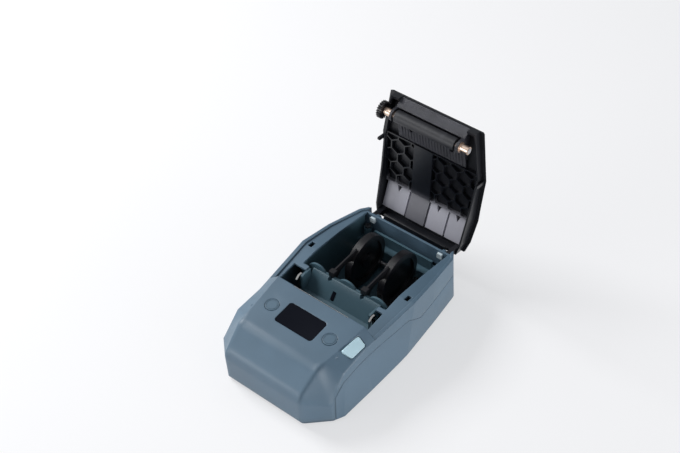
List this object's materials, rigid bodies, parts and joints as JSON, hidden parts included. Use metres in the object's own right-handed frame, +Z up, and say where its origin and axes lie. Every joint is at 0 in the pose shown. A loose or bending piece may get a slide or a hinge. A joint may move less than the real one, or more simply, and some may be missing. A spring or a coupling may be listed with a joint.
{
  "type": "label printer",
  "caption": "Portable label printer with its hinged lid open, showing the platen roller, roll holders, display window and release button.",
  "frame": {"origin": "table height under the middle of the outline, lid open", "axes": "+X to the right seen from the display end, +Y from the display end to the hinge, +Z up"},
  "size_m": [0.117, 0.2171, 0.1513],
  "materials": {
    "upper_plastic": "satin",
    "base_plastic": "satin",
    "bay_plastic": "fine grain",
    "inner_plastic": "fine grain",
    "lid_inner_plastic": "fine grain",
    "foot_rubber": "matte",
    "roller_rubber": "satin",
    "steel": "satin",
    "nickel": "polished",
    "aluminium": "satin",
    "brass": "satin",
    "black_gloss": "gloss",
    "board_green": "satin",
    "battery_wrap": "satin",
    "pale_plastic": "satin",
    "gear_plastic": "satin",
    "button_plastic": "satin",
    "release_plastic": "satin",
    "head_ceramic": "glazed"
  },
  "bodies": {
    "body": {"upper_shell": "upper_plastic", "base_shell": "base_plastic", "rubber_feet": "foot_rubber", "base_screws": "steel", "charging_socket": "steel", "display_window": "black_gloss", "display_module": "inner_plastic", "display_board": "board_green", "button_switches": "inner_plastic", "print_head_mount": "steel", "head_pin": "steel", "head_springs": "steel", "paper_guide": "bay_plastic", "label_sensor": "black_gloss", "tear_bar": "steel", "roll_tub": "bay_plastic", "guide_rails": "steel", "boss_screw": "steel", "gear_plate": "steel", "motor": "steel", "main_board": "board_green", "battery_pack": "battery_wrap", "hinge_pins": "steel", "hinge_blocks": "pale_plastic"},
    "lid": {"lid_shell": "lid_inner_plastic", "lid_frame": "lid_inner_plastic", "platen_carrier": "inner_plastic", "left_platen_bush": "brass", "right_platen_bush": "brass"},
    "platen": {"platen_shaft": "steel", "platen_roller": "roller_rubber", "platen_gear": "gear_plastic"},
    "idler": {"idler_gear": "gear_plastic"},
    "motor_rotor": {"motor_shaft": "steel", "motor_pinion": "brass"},
    "left_button": {"left_button": "button_plastic"},
    "right_button": {"right_button": "button_plastic"},
    "release": {"release_button": "release_plastic"},
    "latch": {"latch_rod": "steel", "left_latch_lever": "nickel", "right_latch_lever": "nickel"},
    "head": {"heat_sink": "aluminium", "print_head": "head_ceramic"},
    "left_holder": {"left_roll_guide": "inner_plastic", "left_holder_slider": "inner_plastic"},
    "right_holder": {"right_roll_guide": "inner_plastic", "right_holder_slider": "inner_plastic"},
    "holder_pinion": {"holder_pinion": "gear_plastic"}
  },
  "joints": [
    {"name": "lid_hinge", "type": "hinge", "parent": "body", "child": "lid", "pos_m": [0, 0.07923, 0.0373], "axis": [1, 0, 0], "range_deg": [0, 96]},
    {"name": "platen_spin", "type": "hinge", "parent": "lid", "child": "platen", "pos_m": [0, 0.09359, 0.14036], "axis": [1, 0, 0], "continuous": true},
    {"name": "idler_spin", "type": "hinge", "parent": "body", "child": "idler", "pos_m": [0, -0.03574, 0.02795], "axis": [1, 0, 0], "continuous": true},
    {"name": "motor_spin", "type": "hinge", "parent": "body", "child": "motor_rotor", "pos_m": [0, -0.048, 0.02254], "axis": [1, 0, 0], "continuous": true},
    {"name": "left_button_press", "type": "slide", "parent": "body", "child": "left_button", "axis": [0, 0.1058, -0.9944], "range_m": [0, 0.0008], "stiffness_N_per_m": 800},
    {"name": "right_button_press", "type": "slide", "parent": "body", "child": "right_button", "axis": [0, 0.1058, -0.9944], "range_m": [0, 0.0008], "stiffness_N_per_m": 800},
    {"name": "latch_turn", "type": "hinge", "parent": "body", "child": "latch", "pos_m": [0, -0.01827, 0.024], "axis": [-1, 0, 0], "range_deg": [0, 7], "stiffness_Nm_per_rad": 0.25},
    {"name": "release_press", "type": "slide", "parent": "body", "child": "release", "axis": [-0.6479, 0, -0.7617], "range_m": [0, 0.0015]},
    {"name": "head_pivot", "type": "hinge", "parent": "body", "child": "head", "pos_m": [0, -0.03277, 0.0315], "axis": [1, 0, 0], "range_deg": [0, 1.2], "stiffness_Nm_per_rad": 2},
    {"name": "left_holder_slide", "type": "slide", "parent": "body", "child": "left_holder", "axis": [-1, 0, 0], "range_m": [-0.004, 0.002]},
    {"name": "right_holder_slide", "type": "slide", "parent": "body", "child": "right_holder", "axis": [1, 0, 0], "range_m": [-0.004, 0.002]},
    {"name": "holder_pinion_turn", "type": "hinge", "parent": "body", "child": "holder_pinion", "pos_m": [0, 0.01523, 0.00825], "axis": [0, 0, -1], "range_deg": [-38.3, 19.2]}
  ],
  "couplings": [
    {"joint": "motor_spin", "follows": "idler_spin", "ratio": -2.8},
    {"joint": "release_press", "follows": "latch_turn", "m_per_rad": 0.012277},
    {"joint": "right_holder_slide", "follows": "left_holder_slide", "ratio": 1},
    {"joint": "holder_pinion_turn", "follows": "left_holder_slide", "rad_per_m": 166.67}
  ]
}
